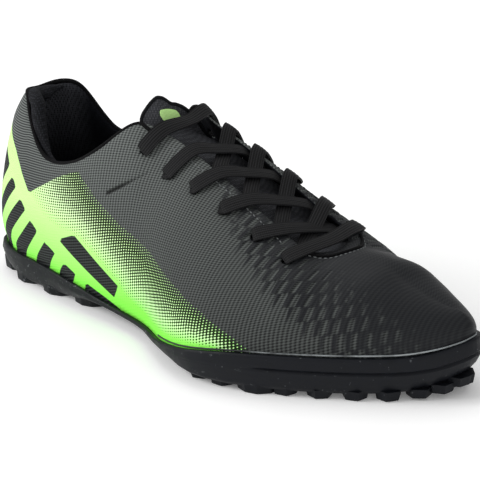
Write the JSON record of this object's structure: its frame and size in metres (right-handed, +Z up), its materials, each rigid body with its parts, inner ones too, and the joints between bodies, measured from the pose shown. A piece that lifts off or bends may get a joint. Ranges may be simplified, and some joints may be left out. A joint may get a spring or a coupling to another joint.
{
  "type": "turf shoe",
  "caption": "Low turf football shoe for the right foot: hollow upper with padded collar, tongue, flat laces and a one-piece rubber cup sole with small lugs.",
  "frame": {"origin": "middle of the bounding box in X and Y, on the plane that the lugs stand on", "axes": "+X towards the toe, +Y towards the inner side of the foot, +Z up"},
  "size_m": [0.2878, 0.108, 0.1085],
  "materials": {
    "outsole": "matt moulded",
    "upper": "woven, partly coated",
    "tongue": "padded mesh",
    "footbed": "brushed top cloth on foam",
    "lace": "flat weave"
  },
  "bodies": {
    "root": {"outsole": "outsole", "insole": "footbed", "upper": "upper", "tongue": "tongue", "lace_bar_top": "lace", "lace_cross_1": "lace", "lace_cross_2": "lace", "lace_cross_3": "lace", "lace_cross_4": "lace", "lace_bar_bottom": "lace"}
  },
  "joints": []
}
